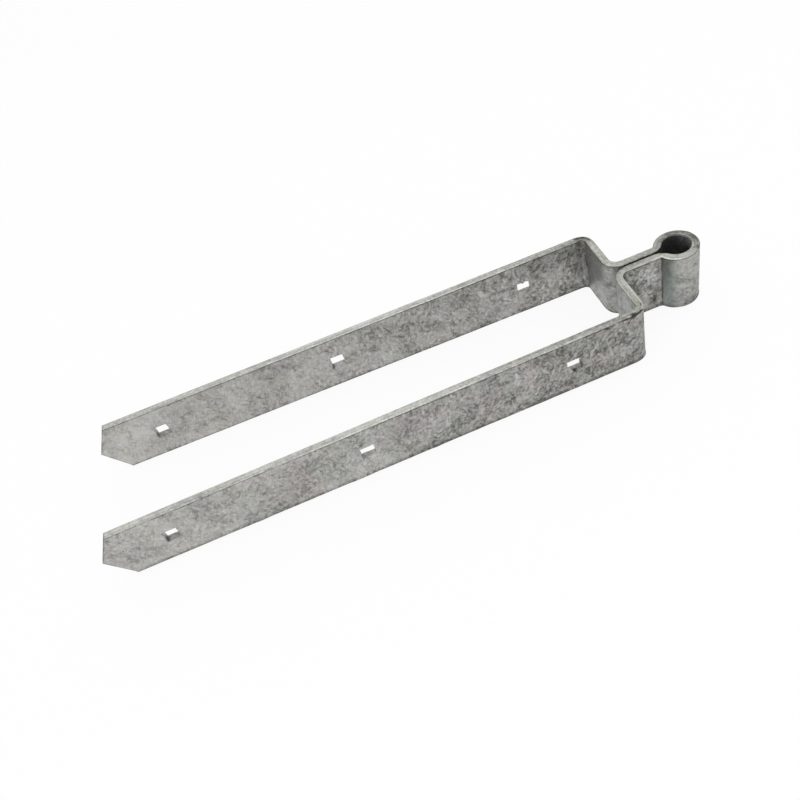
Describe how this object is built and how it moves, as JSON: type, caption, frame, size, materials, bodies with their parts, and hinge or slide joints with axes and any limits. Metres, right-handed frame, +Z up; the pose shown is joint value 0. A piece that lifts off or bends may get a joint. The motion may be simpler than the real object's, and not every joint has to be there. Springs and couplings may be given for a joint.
{
  "type": "double strap gate hinge",
  "caption": "Gate hinge band folded from galvanised flat bar: a rolled eye for a hook's pin, and long pointed straps with square bolt holes that clasp a gate's rail.",
  "frame": {"origin": "on the axis of the eye, level with the bar's lower edge, where the eye sits on a gate hook's shoulder", "axes": "+X from the eye to the pointed ends, +Z up along the pin, +Y to the left strap as seen from the eye"},
  "size_m": [0.5001, 0.1154, 0.05],
  "materials": {
    "galvanised_steel": "hot-dip galvanised, matt and mottled"
  },
  "bodies": {
    "root": {"double_strap": "galvanised_steel"}
  },
  "joints": []
}
